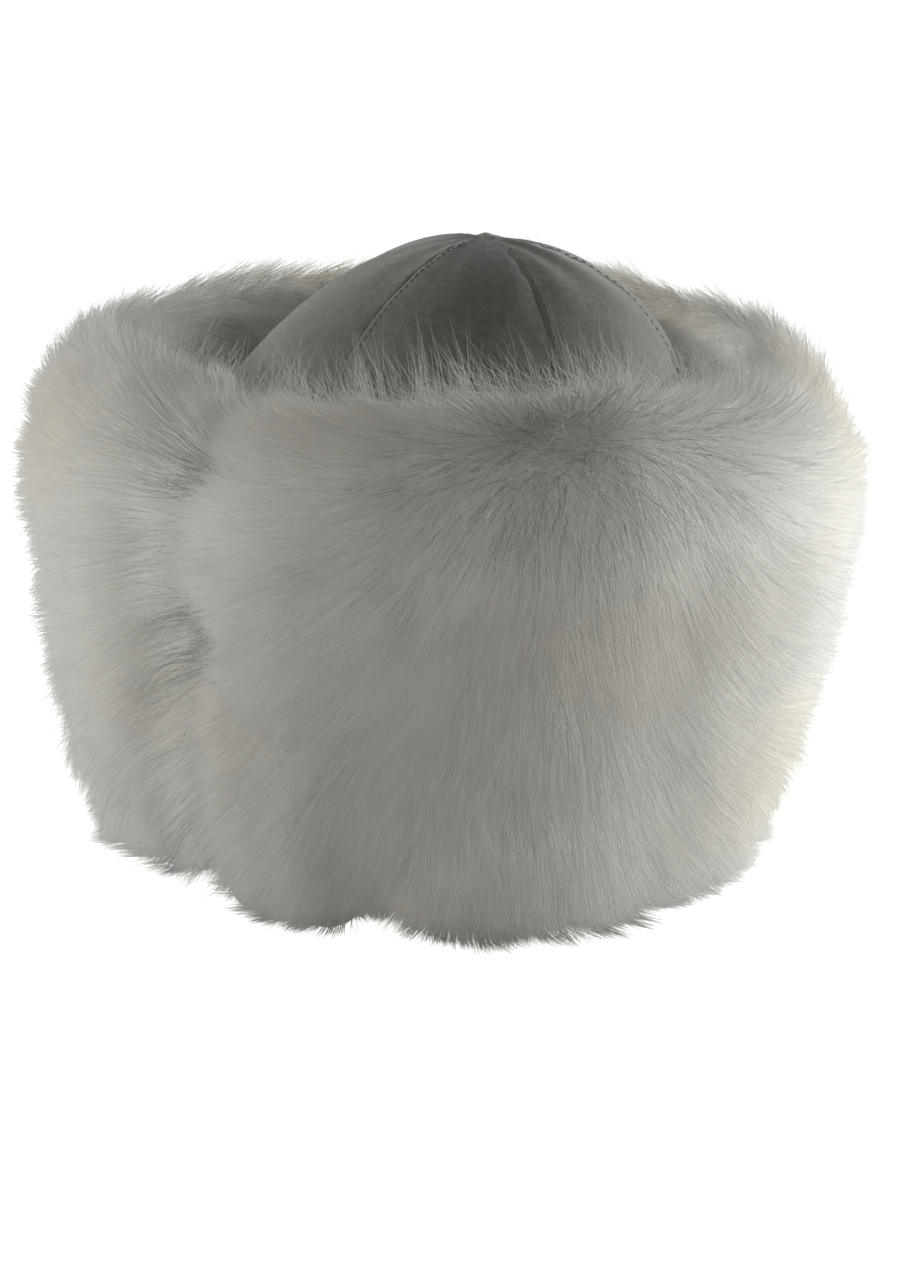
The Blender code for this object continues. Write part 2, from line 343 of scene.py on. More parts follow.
flecks = add_node(
    tree,
    "ShaderNodeMapRange",
    {
        "Value": shaken.outputs["Value"],
        "From Min": WOOL_FLECKS[0],
        "From Max": WOOL_FLECKS[1],
    },
)
coloured = add_node(
    tree,
    "ShaderNodeMix",
    {
        MIX_SHARE: flecks.outputs["Result"],
        MIX_FIRST: clouded.outputs[MIX_RESULT],
        MIX_SECOND: linear(WOOL_PALE),
    },
    data_type="RGBA",
)
painted_gore_shade = add_node(tree, "ShaderNodeAttribute", attribute_name="painted_gore_shade").outputs["Fac"]
# Painted shade: the wool colour scaled by the gore's fixed factor
gore_shaded = add_node(
    tree,
    "ShaderNodeVectorMath",
    {0: coloured.outputs[MIX_RESULT], "Scale": painted_gore_shade},
    operation="SCALE",
)
raised = add_node(
    tree,
    "ShaderNodeBump",
    {
        "Height": shaken.outputs["Value"],
        "Distance": WOOL_FIBRE_DEPTH,
        "Strength": WOOL_FIBRE_RAISED,
    },
)
shader = add_node(
    tree,
    "ShaderNodeBsdfPrincipled",
    {
        "Base Color": gore_shaded.outputs["Vector"],
        "Roughness": WOOL_ROUGHNESS,
        "Sheen Weight": WOOL_SHEEN,
        "Sheen Roughness": WOOL_SHEEN_ROUGHNESS,
        "Normal": raised.outputs["Normal"],
    },
)
add_node(tree, "ShaderNodeOutputMaterial", {"Surface": shader.outputs["BSDF"]})


def seam_line(index, turn, lift=0.0):
    """Points beside a gore's left-hand seam, at turns down the dome from its apex."""
    radius = HALF_WIDTH * np.sin(turn)
    height = DOME_START + (CROWN_HEIGHT - DOME_START) * np.cos(turn)
    across = STITCH_IN / (math.tau / GORES * radius) - 0.5
    return gore_points(index, across, radius, height, lift)


def make_stitches(index, material):
    """One row of stitches down a seam line, each diving into the cloth at its ends."""
    fine = np.linspace(STITCH_FROM, math.pi / 2, SEAM_STEPS)
    line = seam_line(index, fine)
    travelled = np.append(0, np.cumsum(np.linalg.norm(np.diff(line, axis=0), axis=1)))
    starts = np.arange(0, travelled[-1] - STITCH_LENGTH, STITCH_LENGTH + STITCH_GAP)
    along = np.linspace(0, 1, STITCH_RINGS)
    travel = starts[:, None] + STITCH_LENGTH * along
    turn = np.interp(travel, travelled, fine)
    bow = THREAD_BOW * np.sin(math.pi * along) - THREAD_SUNK
    middle = seam_line(index, turn, THREAD_RADIUS * bow * np.ones_like(travel))
    heading = np.gradient(middle, axis=1)
    heading /= np.linalg.norm(heading, axis=-1, keepdims=True)
    out = middle - np.array((APEX_LEAN, 0, DOME_START))
    side = np.cross(heading, out)
    side /= np.linalg.norm(side, axis=-1, keepdims=True)
    out = np.cross(side, heading)
    spin = np.linspace(0, math.tau, STITCH_SIDES, endpoint=False)[:, None]
    inner = THREAD_BLUNT[0] + THREAD_BLUNT[1] * along
    thick = THREAD_RADIUS * np.sqrt(np.sin(math.pi * inner))[:, None, None]
    outward = side[:, :, None] * np.cos(spin) + out[:, :, None] * np.sin(spin)
    points = (middle[:, :, None] + thick * outward).reshape(-1, 3)
    faces = []
    for stitch in range(len(starts)):
        base = stitch * STITCH_RINGS * STITCH_SIDES
        for ring in range(STITCH_RINGS - 1):
            for step in range(STITCH_SIDES):
                here = base + ring * STITCH_SIDES
                beyond = here + STITCH_SIDES
                after = (step + 1) % STITCH_SIDES
                faces.append((here + step, here + after, beyond + after, beyond + step))
        faces.append([base + step for step in reversed(range(STITCH_SIDES))])
        end = base + (STITCH_RINGS - 1) * STITCH_SIDES
        faces.append([end + step for step in range(STITCH_SIDES)])
    return new_piece(f"seam_stitches_{index + 1}", points, faces, material)


# Cotton thread: two plies with a dull sheen, a little paler than the wool
thread, tree = new_material("pale_cotton_thread")
where = add_node(tree, "ShaderNodeTexCoord").outputs["Object"]
plies = add_node(tree, "ShaderNodeTexNoise", {"Vector": where, "Scale": per_mm(THREAD_PLY_MM)})
spun = add_node(
    tree,
    "ShaderNodeMix",
    {
        MIX_SHARE: plies.outputs["Fac"],
        MIX_FIRST: linear(THREAD_DARK),
        MIX_SECOND: linear(THREAD_PALE),
    },
    data_type="RGBA",
)
shader = add_node(
    tree,
    "ShaderNodeBsdfPrincipled",
    {"Base Color": spun.outputs[MIX_RESULT], "Roughness": THREAD_ROUGHNESS},
)
add_node(tree, "ShaderNodeOutputMaterial", {"Surface": shader.outputs["BSDF"]})

for index in range(GORES):
    stitches = make_stitches(index, thread)
    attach(stitches, "root")
    gore = make_gore(index, wool)
    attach(gore, "root")
    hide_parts(f"crown_gore_{index + 1}")

# Pelts of the band: woven backing under a short dense underfur, a closed band that
# stands round the crown. The front panel is one pelt and the sides and back are the
# other, and they are sewn end to end under the pile.
FUR_FORM = np.array((
    # half width, height
    (0.120, 0.000),
    (0.132, 0.032),
    (0.141, 0.075),
    (0.148, 0.112),
    (0.150, 0.139),
    (0.143, 0.161),
    (0.131, 0.175),
    (0.119, 0.179),
    (0.107, 0.171),
    (0.098, 0.152),
))
CURVE_STEPS = 12
CREST_FROM = 0.112
CREST_HEIGHT = 0.179
HEM_UP_TO = 0.075
FUR_ROUND = np.array((
    # azimuth, crest lift, hem lift, swell
    (-180, 0.006, 0.000, 0.000),
    (-150, 0.005, 0.000, 0.000),
    (-100, -0.001, 0.005, 0.000),
    (-76, -0.001, 0.012, 0.000),
    (-60, 0.000, 0.007, 0.000),
    (-46, -0.001, 0.008, -0.002),
    (-38, -0.003, 0.010, -0.010),
    (-34, -0.008, 0.000, 0.000),
    (-26, -0.008, 0.000, 0.004),
    (-15, -0.003, 0.000, 0.004),
    (-5, 0.000, 0.012, 0.001),
    (3, 0.002, 0.001, 0.000),
    (10, 0.005, 0.000, 0.000),
    (24, 0.007, 0.000, -0.001),
    (31, 0.006, 0.000, -0.002),
    (40, 0.005, 0.003, 0.000),
    (52, 0.004, 0.009, 0.004),
    (70, 0.000, 0.007, 0.000),
    (90, 0.003, 0.003, -0.005),
    (110, 0.006, 0.000, -0.003),
    (150, 0.012, 0.000, 0.000),
    (180, 0.006, 0.000, 0.000),
))
LEFT_SEAM = -35.0
RIGHT_SEAM = 31.0
TURN = 360.0
ROOT_BURIED = 0.0015
PELT_ROWS = 26
PELT_STEP = 2.5
INNER_GAP = 0.0002
LIP_ROOT = 0.126
SLOPE_STEP = 0.004

PELT_CREAM = "E2DFD6"
# The darker cream of the underfur's mottle, painted shade for the gaps between its hairs
PELT_SHADE = "CFCBC0"
PELT_ROUGHNESS = 0.95
UNDERFUR_MM = 4.0
UNDERFUR_DETAIL = 4.0


def smooth_curve(rows):
    """Points on a smooth curve through the rows of a table."""
    padded = np.concatenate([rows[:1], rows, rows[-1:]])
    share = (np.arange(CURVE_STEPS) / CURVE_STEPS)[:, None]
    parts = []
    for before, here, after, beyond in zip(padded, padded[1:], padded[2:], padded[3:]):
        slope_in = (after - before) / 2
        slope_out = (beyond - here) / 2
        bend = 3 * (after - here) - 2 * slope_in - slope_out
        curl = 2 * (here - after) + slope_in + slope_out
        parts.append(here + slope_in * share + bend * share**2 + curl * share**3)
    return np.concatenate([*parts, rows[-1:]])


FORM_CURVE = smooth_curve(FUR_FORM)
FORM_LENGTHS = np.append(0.0, np.cumsum(np.linalg.norm(np.diff(FORM_CURVE, axis=0), axis=1)))
FORM_LENGTH = float(FORM_LENGTHS[-1])


def form_at(length):
    """Half width and height of the outer form, a length up from the hem."""
    half_width = np.interp(length, FORM_LENGTHS, FORM_CURVE[:, 0])
    return half_width, np.interp(length, FORM_LENGTHS, FORM_CURVE[:, 1])


def from_front(azimuth):
    """The same azimuth between -180 and 180 degrees."""
    return (azimuth + TURN / 2) % TURN - TURN / 2


def eased(rows, value):
    """The columns of a table at values of its first column, eased between rows."""
    after = np.clip(np.searchsorted(rows[:, 0], value), 1, len(rows) - 1)
    first, second = rows[after - 1], rows[after]
    share = ramp((value - first[..., 0]) / (second[..., 0] - first[..., 0]))
    return np.moveaxis(first + (second - first) * share[..., None], -1, 0)[1:]


def fur_point(azimuth, length, depth=0.0):
    """Points of the fur at a depth under its outer form; azimuths are in degrees."""
    half_width, height = form_at(length)
    low = np.clip(length - SLOPE_STEP, 0.0, FORM_LENGTH - 2 * SLOPE_STEP)
    low_width, low_height = form_at(low)
    high_width, high_height = form_at(low + 2 * SLOPE_STEP)
    out = high_height - low_height
    up = low_width - high_width
    size = np.hypot(out, up)
    crest_lift, hem_lift, swell = eased(FUR_ROUND, from_front(azimuth))
    outside = ramp((half_width - HALF_WIDTH) / (FUR_FORM[0, 0] - HALF_WIDTH))
    radius = half_width + swell * outside - depth * out / size
    lift = crest_lift * ramp((height - CREST_FROM) / (CREST_HEIGHT - CREST_FROM))
    lift = lift + hem_lift * (1 - ramp(height / HEM_UP_TO))
    return around(radius, np.radians(azimuth), height + lift - depth * up / size)


# How the pile grows, which also says how deep under the form its pelt lies
PILE = np.array((
    # length, lift at the root, lift at the tip, hair length, root depth
    (0.000, 42.0, 20.0, 0.024, 0.0095),
    (0.012, 42.0, 18.0, 0.028, 0.0105),
    (0.032, 40.0, 13.0, 0.033, 0.0115),
    (0.060, 38.0, 11.0, 0.035, 0.0130),
    (0.100, 38.0, 12.0, 0.036, 0.0135),
    (0.150, 39.0, 13.0, 0.036, 0.0135),
    (0.174, 40.0, 18.0, 0.034, 0.0130),
    (0.195, 44.0, 26.0, 0.030, 0.0115),
    (0.212, 46.0, 34.0, 0.027, 0.0105),
    (FORM_LENGTH, 35.0, 22.0, 0.024, 0.0050),
))


def make_pelt(name, first, last, material):
    """A closed band between two azimuths: its section is swept round the head."""
    azimuth = np.linspace(first, last, round((last - first) / PELT_STEP) + 1)
    length = np.linspace(0, FORM_LENGTH, PELT_ROWS)
    grid_length, grid_azimuth = np.meshgrid(length, azimuth)
    depth = eased(PILE, grid_length)[3] - ROOT_BURIED
    outer = fur_point(grid_azimuth, grid_length, depth)
    hem = eased(FUR_ROUND, from_front(azimuth))[1]
    outer[:, 0, 2] = hem
    wall = around(np.full(len(azimuth), HALF_WIDTH + INNER_GAP), np.radians(azimuth), hem)
    lip = wall.copy()
    lip[:, 2] = LIP_ROOT
    rings = np.concatenate([outer, lip[:, None], wall[:, None]], axis=1)
    steps, rows, _ = rings.shape
    corner = (np.arange(steps - 1)[:, None] * rows + np.arange(rows)).ravel()
    above = (np.arange(steps - 1)[:, None] * rows + (np.arange(rows) + 1) % rows).ravel()
    faces = np.stack([corner, corner + rows, above + rows, above], axis=1).tolist()
    faces += [list(range(rows)), list(range(len(azimuth) * rows - 1, (steps - 1) * rows - 1, -1))]
    return new_piece(name, rings.reshape(-1, 3), faces, material)


# Underfur: short crimped hairs packed tight, cream and dull. A noise mottle darkens it in
# patches towards a greyer cream, painted shade for the gaps between the hairs.
underfur, tree = new_material("cream_crimped_underfur")
where = add_node(tree, "ShaderNodeTexCoord").outputs["Object"]
packing = add_node(
    tree,
    "ShaderNodeTexNoise",
    {"Vector": where, "Scale": per_mm(UNDERFUR_MM), "Detail": UNDERFUR_DETAIL},
)
packed = add_node(
    tree,
    "ShaderNodeMix",
    {
        MIX_SHARE: packing.outputs["Fac"],
        MIX_FIRST: linear(PELT_SHADE),
        MIX_SECOND: linear(PELT_CREAM),
    },
    data_type="RGBA",
)
shader = add_node(
    tree,
    "ShaderNodeBsdfPrincipled",
    {"Base Color": packed.outputs[MIX_RESULT], "Roughness": PELT_ROUGHNESS},
)
add_node(tree, "ShaderNodeOutputMaterial", {"Surface": shader.outputs["BSDF"]})

for name, node, first, last in (
    ("front_panel_pelt", "front_fur_panel", LEFT_SEAM, RIGHT_SEAM),
    ("side_band_pelt", "side_fur_band", RIGHT_SEAM, LEFT_SEAM + TURN),
):
    pelt = make_pelt(name, first, last, underfur)
    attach(pelt, "root")
    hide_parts(node)

# Pile: long straight guard hairs, white with cream roots, that grow out of the pelt
# and lie over each other in soft wisps. They run out and down from a swirl at the top
# of the front panel, stand up at the crest, and are cut short beside the left seam.
PILE_SEED = 7
PILE_PIECES = (
    # name, first azimuth, last azimuth, hairs, node
    ("front_panel_pile", -34.0, 31.0, 64000, "front_fur_panel"),
    ("right_side_pile", 31.0, 112.0, 62000, "side_fur_band"),
    ("back_right_pile", 112.0, 180.0, 46000, "side_fur_band"),
    ("back_left_pile", 180.0, 244.0, 44000, "side_fur_band"),
    ("left_side_pile", 244.0, 327.5, 62000, "side_fur_band"),
)
DEGREE_ROUND = 0.0026  # metres round the form
SKIN_STEP = 0.0005
LOWEST_ROOT = 0.006
TINY = 1e-6
# Real guard hair is about a tenth as wide. This is what lets so many hairs cover the pelt.
HAIR_HALF_WIDTH = 0.00013
HAIR_WIDTH_RANGE = (0.75, 1.2)
HAIR_GATHER = (0.6, 1.1)
HAIR_GATHER_BEND = 1.6
ROOT_SAY = 1.2
HAIR_LENGTH_JITTER = 0.14
HAIR_LIE_JITTER = 11.0
HAIR_LIFT_JITTER = 5.0
HAIR_ROLL = 35.0
HAIR_STATIONS = np.array((0.0, 0.52, 1.0))
HAIR_TAPER = np.array((0.9, 1.0))
# Deep pile takes its light mostly as the form under it does, and a little along each hair
FORM_SHADING = 0.65
EDGE_SHADING = 0.12
TIP_SHADING = 0.35
STRAY_SHARE = 0.20
STRAY_TURN = 17.0
STRAY_LIFT = 4.0
STRAY_CREST_LIFT = 52.0
STRAY_CREST_LENGTH = 0.45
STRAY_HOLD = 0.12
STRAY_FINENESS = 0.6
STRAY_ROUNDNESS = 1.2
BACK_FROM = (50.0, 75.0)
BACK_CREST_LIFT = 8.0
BACK_CALM = 0.8
CREST_LENGTH = 0.202
CREST_SPREAD = 0.020
PARTING = (0.174, 0.018, 17.0, 28.0, 55.0)  # length, spread, azimuth, spread, turn
PARTING_LOOSE = 0.8
# Painted shade at the parting, where the pile opens deeper: its place, then the share of hairs
# given the darkest step
PARTING_PAINTED_SHADE = (0.165, 0.022, 24.0, 17.0, 0.24)  # the same, then the share of deep hairs
TUFTS = (
    # azimuth, length, spread round, spread along, extra lift
    (-88, 0.100, 28, 0.030, -11),
    (-85, 0.048, 28, 0.022, 9),
    (-72, 0.020, 14, 0.018, -10),
    (88, 0.085, 28, 0.035, -10),
)
WISPS = (
    # size across, size along, how far hairs gather, turn, lift, length share
    (0.045, 0.050, 0.00, 13.0, 7.0, 0.08),
    (0.020, 0.024, 0.25, 16.0, 7.0, 0.10),
    (0.0075, 0.0095, 0.42, 10.0, 4.0, 0.12),
)
WISP_HABITS = 5
WISP_SCATTER = 0.45
# How much lighter a wisp's hairs are made as it lifts higher: painted light, as if they caught more
# light
WISP_PAINTED_LIGHT = 0.5
LAY_LENGTHS = (0.010, 0.050, 0.090, 0.130, 0.165, 0.195, 0.225)
LAY = np.array((
    # azimuth, then the heading at each of those lengths: 0 is up, 90 is to the right
    (-180, 180, 180, 180, 180, 178, -6, 0),
    (-140, -165, -155, -150, -140, -120, -50, -20),
    (-100, -150, -130, -120, -110, -95, -55, -25),
    (-70, -150, -125, -110, -100, -85, -55, -30),
    (-50, -155, -130, -115, -100, -75, -50, -30),
    (-36, -160, -150, -140, -120, -80, -55, -35),
    (-33, -150, -122, -102, -95, -86, -80, -60),
    (-20, -160, -135, -115, -104, -88, -68, -48),
    (-8, -170, -152, -138, -128, -118, -54, -38),
    (4, -180, -170, -158, -150, -158, -34, -24),
    (14, 178, 176, -178, 180, -176, -14, -8),
    (22, 172, 168, 172, 178, 176, 2, -4),
    (31, 158, 148, 156, 176, 150, 24, -2),
    (40, 148, 126, 126, 154, 134, 34, 4),
    (50, 146, 114, 102, 108, 118, 28, 14),
    (60, 150, 118, 100, 92, 74, 40, 20),
    (90, 155, 125, 110, 100, 84, 45, 20),
    (130, 165, 150, 140, 130, 114, 45, 20),
    (180, 180, 180, 180, 180, 178, -6, 0),
))
HAIR_POINTS = 5
RIBBON = np.array((0, 1, 3, 2, 2, 3, 4))
RIBBON_STARTS = np.array((0, 4))
RIBBON_ACROSS = np.array((0, 1, 1, 0, 0, 1, 0.5))
LOWEST_HAIR = 0.0004
HEM_FRINGE = 0.0020
HEM_TUFTS = 0.0016
HEM_FOLLOWED = 0.6
HEM_SPLAY = 0.7
HEM_SPLAY_TUFTS = 0.5
SEAMS = (-34.0, 31.0, 327.5)  # the panel's left and right ends, then the side piece's left
SEAM_OVERLAP = (-4.4, 3.5)
SEAM_NOTCHES = (
    # length, how open
    (0.014, 1.0),
    (0.097, 1.6),
    (0.163, 1.0),
)
NOTCH_LENGTH = 0.009
NOTCH_TURN = 4.0
# Painted shade in the notches of the left seam: hairs there get the darkest step of shade
NOTCH_PAINTED_SHADE = (-32.0, 2.8)  # azimuth, spread
NOTCH_SHARE = 0.85
# How dark the darkest step of shade is: painted shade
PAINTED_SHADE_LEVEL = 0.55
SEAM_RAGGED = 1.0
SEAM_WAVES = ((410, 1.0), (255, 0.4))
SEAM_SCATTER = 0.8
RIGHT_RAGGED = 2
SHORTEST_TRIM = 0.3
SEAM_SHORT = (0.50, 8.0)  # share cut off, degrees from the seam
SEAM_SHORT_NOTCHES = (0.35, 0.65)  # how much of that between notches, and more at one
OFF_CROWN = 0.0012
SHADE_STEPS = 8
SHADE_MIDDLE = 0.5
SHADE_SPREAD = 0.22
SHADE_JITTER = 0.16
WARM_STEPS = 4
WARM_WAVES = ((5, 40, 1.0), (3, -65, 2.2))
WARM_SPREAD = 0.22
CELL_ACROSS = (0.15, 0.7)  # margin and breadth in a tint's cell of the map
CELL_ALONG = (0.05, 0.9)
MIDDLE_OF_CROWN = 0.05


def lay_of_pile(azimuth, length):
    """The pile's heading, blended as unit vectors between the table's rows and columns."""
    wrapped = from_front(azimuth)
    headings = np.radians(LAY[:, 1:])
    after = np.clip(np.searchsorted(LAY[:, 0], wrapped), 1, len(LAY) - 1)
    round_share = (wrapped - LAY[after - 1, 0]) / (LAY[after, 0] - LAY[after - 1, 0])
    place = np.interp(length, LAY_LENGTHS, np.arange(len(LAY_LENGTHS)))
    below = np.minimum(place.astype(int), len(LAY_LENGTHS) - 2)
    up_share = place - below
    turned = 0
    for row, row_share in ((after - 1, 1 - round_share), (after, round_share)):
        for column, column_share in ((below, 1 - up_share), (below + 1, up_share)):
            turned = turned + row_share * column_share * np.exp(1j * headings[row, column])
    return np.angle(turned)


def skin_axes(azimuth, length):
    """Unit vectors of the outer form: up it, to the right round it, and out of it."""
    near = SKIN_STEP / DEGREE_ROUND
    up = fur_point(azimuth, np.minimum(length + SLOPE_STEP, FORM_LENGTH))
    up = up - fur_point(azimuth, np.maximum(length - SLOPE_STEP, 0))
    right = fur_point(azimuth + near, length) - fur_point(azimuth - near, length)
    up /= np.linalg.norm(up, axis=-1, keepdims=True)
    right /= np.linalg.norm(right, axis=-1, keepdims=True)
    return up, right, np.cross(right, up)


def direction(azimuth, length, heading, lift):
    """Unit vectors at a heading on the form, lifted off it."""
    up, right, out = skin_axes(azimuth, length)
    flat = up * np.cos(heading)[:, None] + right * np.sin(heading)[:, None]
    return flat * np.cos(lift)[:, None] + out * np.sin(lift)[:, None]


def hair_paths(azimuth, length, turn, lift, share):
    """Each hair's points: it leaves the pelt steeply and bends over to lie on its neighbours."""
    root_lift, tip_lift, reach, depth = eased(PILE, length)
    reach = reach * share
    heading = lay_of_pile(azimuth, length) + np.radians(turn)
    root_lift, tip_lift = np.radians(root_lift + lift), np.radians(tip_lift + lift)
    run = reach * np.cos((root_lift + tip_lift) / 2)
    tip_length = np.clip(length + run * np.cos(heading), 0, FORM_LENGTH)
    tip_azimuth = azimuth + run * np.sin(heading) / DEGREE_ROUND
    tip_heading = lay_of_pile(tip_azimuth, tip_length) + np.radians(turn)
    settled = np.angle(np.exp(1j * heading) * ROOT_SAY + np.exp(1j * tip_heading))
    start = direction(azimuth, length, heading, root_lift)
    end = direction(tip_azimuth, tip_length, settled, tip_lift)
    along = HAIR_STATIONS[None, :, None]
    curve = start[:, None] * along + (end - start)[:, None] * along**2 / 2
    root = fur_point(azimuth, length, depth)
    return root[:, None] + reach[:, None, None] * curve


def wisp_of(azimuth, length, wisp, chance):
    """The nearest wisp centre of each hair, from a jittered grid, and the wisp's own habits."""
    across, along = wisp[:2]
    columns = round(TURN * DEGREE_ROUND / across)
    rows = math.ceil(FORM_LENGTH / along) + 2
    habits = chance.uniform(-1, 1, (columns, rows, WISP_HABITS))
    column = azimuth / TURN * columns
    row = length / along
    best = np.full(len(azimuth), np.inf)
    found = np.zeros((len(azimuth), 2 + WISP_HABITS))
    for right in (-1, 0, 1):
        for up in (-1, 0, 1):
            cell = np.floor(column).astype(int) + right, np.floor(row).astype(int) + up
            habit = habits[cell[0] % columns, cell[1] % rows]
            centre = [cell[axis] + 0.5 + WISP_SCATTER * habit[:, axis] for axis in (0, 1)]
            apart = np.hypot((centre[0] - column) * across, (centre[1] - row) * along)
            nearer = apart < best
            best[nearer] = apart[nearer]
            here = np.column_stack([centre[0] * TURN / columns, centre[1] * along, habit])
            found[nearer] = here[nearer]
    found[:, 1] = np.clip(found[:, 1], 0, FORM_LENGTH)
    return found


def notched(length):
    """How far the two piles part at the left seam, a length up it."""
    return sum(open_by * bell(length - notch, NOTCH_LENGTH) for notch, open_by in SEAM_NOTCHES)


def trimmed(paths, limit):
    """Shortens each hair so that the part of its path over a limit isn't grown."""
    return paths[:, :1] + (paths - paths[:, :1]) * limit[:, None, None]


def clear_of_crown(paths):
    """Hairs that would pass into the crown are pushed out to lie on it."""
    x, y, z = paths[..., 0], paths[..., 1], paths[..., 2]
    rise = np.clip((z - DOME_START) / (CROWN_HEIGHT + OFF_CROWN - DOME_START), 0, 1)
    radius = (HALF_WIDTH + GORE_FULLNESS + OFF_CROWN) * np.sqrt(1 - rise**2) + TINY
    lean = APEX_LEAN * ramp(rise)
    inside = np.hypot((x - lean) / radius, y / (radius * (1 + LONGER / HALF_WIDTH)))
    push = np.maximum(1, 1 / np.maximum(inside, MIDDLE_OF_CROWN))
    push = np.where((rise < 1) & (inside < 1), push, 1)
    paths[..., 0] = lean + (x - lean) * push
    paths[..., 1] = y * push
    return paths


def kept_clear(paths, azimuth, length, tuft, first, last, chance):
    """Hairs end above the floor, a little past their piece's seams, and off the crown."""
    tip_azimuth = np.degrees(np.arctan2(paths[:, -1, 0], -paths[:, -1, 1]))
    tip_azimuth = azimuth + from_front(tip_azimuth - azimuth)
    waves = sum(np.sin(times * length + start) for times, start in SEAM_WAVES)
    ragged = SEAM_RAGGED * waves + chance.normal(0, SEAM_SCATTER, len(azimuth))
    reach = np.abs(tip_azimuth - azimuth) + TINY
    if first == SEAMS[0]:
        ragged = ragged + NOTCH_TURN * (0.5 - notched(length))
        share = (azimuth - first + SEAM_OVERLAP[0] + ragged) / reach
        share = np.clip(share, SHORTEST_TRIM, 1)
        paths = trimmed(paths, np.where(tip_azimuth < azimuth, share, 1))
    if last == SEAMS[1]:
        share = (last - azimuth + SEAM_OVERLAP[1] + RIGHT_RAGGED * ragged) / reach
        share = np.clip(share, SHORTEST_TRIM, 1)
        paths = trimmed(paths, np.where(tip_azimuth > azimuth, share, 1))
    fringe = HEM_FOLLOWED * eased(FUR_ROUND, from_front(azimuth))[1] + HEM_TUFTS * (1 + tuft)
    fringe = fringe + chance.uniform(LOWEST_HAIR, HEM_FRINGE, len(azimuth))
    under = np.maximum(fringe[:, None] - paths[..., 2], 0)
    out = skin_axes(azimuth, length)[2][:, None, :2] * under[..., None]
    paths[..., :2] += out * HEM_SPLAY * (1 - HEM_SPLAY_TUFTS * tuft)[:, None, None]
    paths[..., 2] = np.maximum(paths[..., 2] + under, LOWEST_HAIR)
    return clear_of_crown(paths)


def scattered_hairs(first, last, count, chance):
    """Where hairs grow, and how each turns, lifts, reaches and keeps to its wisp."""
    azimuth = chance.uniform(first, last, count)
    length = chance.uniform(LOWEST_ROOT, FORM_LENGTH, count)
    turn = chance.normal(0, HAIR_LIE_JITTER, count)
    lift = chance.normal(0, HAIR_LIFT_JITTER, count)
    share = 1 + chance.uniform(-1, 1, count) * HAIR_LENGTH_JITTER
    stray = chance.random(count) < STRAY_SHARE
    gather = np.where(stray, STRAY_HOLD, 1.0) * chance.uniform(*HAIR_GATHER, count)
    turn += np.where(stray, STRAY_TURN, 0) * chance.normal(0, 1, count)
    crest = bell(length - CREST_LENGTH, CREST_SPREAD)
    facing = np.abs(from_front(azimuth))
    back = ramp((facing - BACK_FROM[0]) / (BACK_FROM[1] - BACK_FROM[0]))
    upright = crest * (1 - BACK_CALM * back)
    stray_lift = STRAY_LIFT + STRAY_CREST_LIFT * upright * chance.random(count)
    lift += np.where(stray, stray_lift, 0)
    share += np.where(stray, STRAY_CREST_LENGTH * upright * chance.random(count), 0)
    lift += BACK_CREST_LIFT * back * crest
    for place, high, across, along, raised in TUFTS:
        lift += raised * bell(from_front(azimuth - place), across) * bell(length - high, along)
    high, along, place, across, loose_turn = PARTING
    parted = bell(length - high, along) * bell(from_front(azimuth - place), across)
    turn += loose_turn * parted * chance.normal(0, 1, count)
    gather *= 1 - PARTING_LOOSE * parted
    return azimuth, length, turn, lift, share, gather, stray


def ribbons(paths, azimuth, length, stray, chance):
    """Each hair's points and normals: two pairs of points, then the tip."""
    count = len(paths)
    slope = np.gradient(paths, axis=1)
    slope /= np.maximum(np.linalg.norm(slope, axis=-1, keepdims=True), TINY)
    out = skin_axes(azimuth, length)[2][:, None]
    flat = np.cross(slope, out)
    flat /= np.maximum(np.linalg.norm(flat, axis=-1, keepdims=True), TINY)
    roll = np.radians(chance.uniform(-HAIR_ROLL, HAIR_ROLL, count))[:, None, None]
    face = np.cross(flat, slope)
    side = (flat * np.cos(roll) + face * np.sin(roll))[:, :-1]
    front = face * np.cos(roll) - flat * np.sin(roll)
    width = HAIR_HALF_WIDTH * np.where(stray, STRAY_FINENESS, 1.0)
    width = width * chance.uniform(*HAIR_WIDTH_RANGE, count)
    half = side * width[:, None, None] * HAIR_TAPER[None, :, None]
    pairs = np.stack([paths[:, :-1] - half, paths[:, :-1] + half], axis=2)
    points = np.concatenate([pairs.reshape(count, -1, 3), paths[:, -1:]], axis=1)
    points[..., 2] = np.maximum(points[..., 2], LOWEST_HAIR / 2)
    blended = out * FORM_SHADING + front * (1 - FORM_SHADING) + slope * TIP_SHADING
    edges = side * np.where(stray, STRAY_ROUNDNESS, EDGE_SHADING)[:, None, None]
    pairs = np.stack([blended[:, :-1] - edges, blended[:, :-1] + edges], axis=2)
    normals = np.concatenate([pairs.reshape(count, -1, 3), blended[:, -1:]], axis=1)
    return points, normals / np.linalg.norm(normals, axis=-1, keepdims=True)


def warmth(azimuth, length):
    """How yellow the pile is: soft patches of a few centimetres."""
    turn = np.radians(azimuth)
    waves = (np.sin(times * turn + up * length + start) for times, up, start in WARM_WAVES)
    return 0.5 + WARM_SPREAD * sum(waves)


